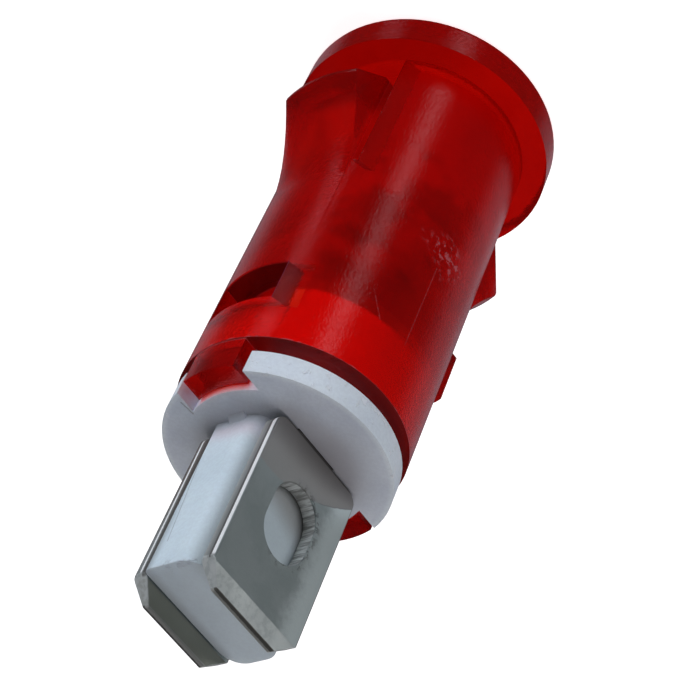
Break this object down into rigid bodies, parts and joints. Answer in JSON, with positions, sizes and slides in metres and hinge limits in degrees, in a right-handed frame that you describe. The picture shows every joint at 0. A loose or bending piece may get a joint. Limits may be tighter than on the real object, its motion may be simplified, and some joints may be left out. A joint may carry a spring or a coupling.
{
  "type": "panel pilot light",
  "caption": "Snap-in panel pilot light with a translucent red lens housing, a white terminal base and quick-connect tabs.",
  "frame": {"origin": "centre of the front face of the lens", "axes": "+Z from the lens face to the tips of the tabs, +X along the thickness of the tabs, +Y along their width, towards the snap finger whose tip is nearer the head"},
  "size_m": [0.0144, 0.0153, 0.0371],
  "materials": {
    "red_lens": "gloss",
    "white_nylon": "satin",
    "tinned_brass": "satin",
    "lamp_glass": "gloss",
    "electrode_nickel": "satin",
    "lead_wire": "satin",
    "resistor_lacquer": "satin",
    "sleeve_ptfe": "satin",
    "solder": "satin"
  },
  "bodies": {
    "root": {"lens_housing": "red_lens", "terminal_base": "white_nylon", "terminal_a": "tinned_brass", "terminal_b": "tinned_brass", "bulb_glass": "lamp_glass", "electrode_a": "electrode_nickel", "electrode_b": "electrode_nickel", "bulb_lead_a": "lead_wire", "bulb_lead_b": "lead_wire", "resistor_body": "resistor_lacquer", "resistor_lead_a": "lead_wire", "resistor_lead_b": "lead_wire", "lead_sleeve": "sleeve_ptfe", "solder_joint_a": "solder", "solder_joint_b": "solder", "splice_joint": "solder"}
  },
  "joints": []
}
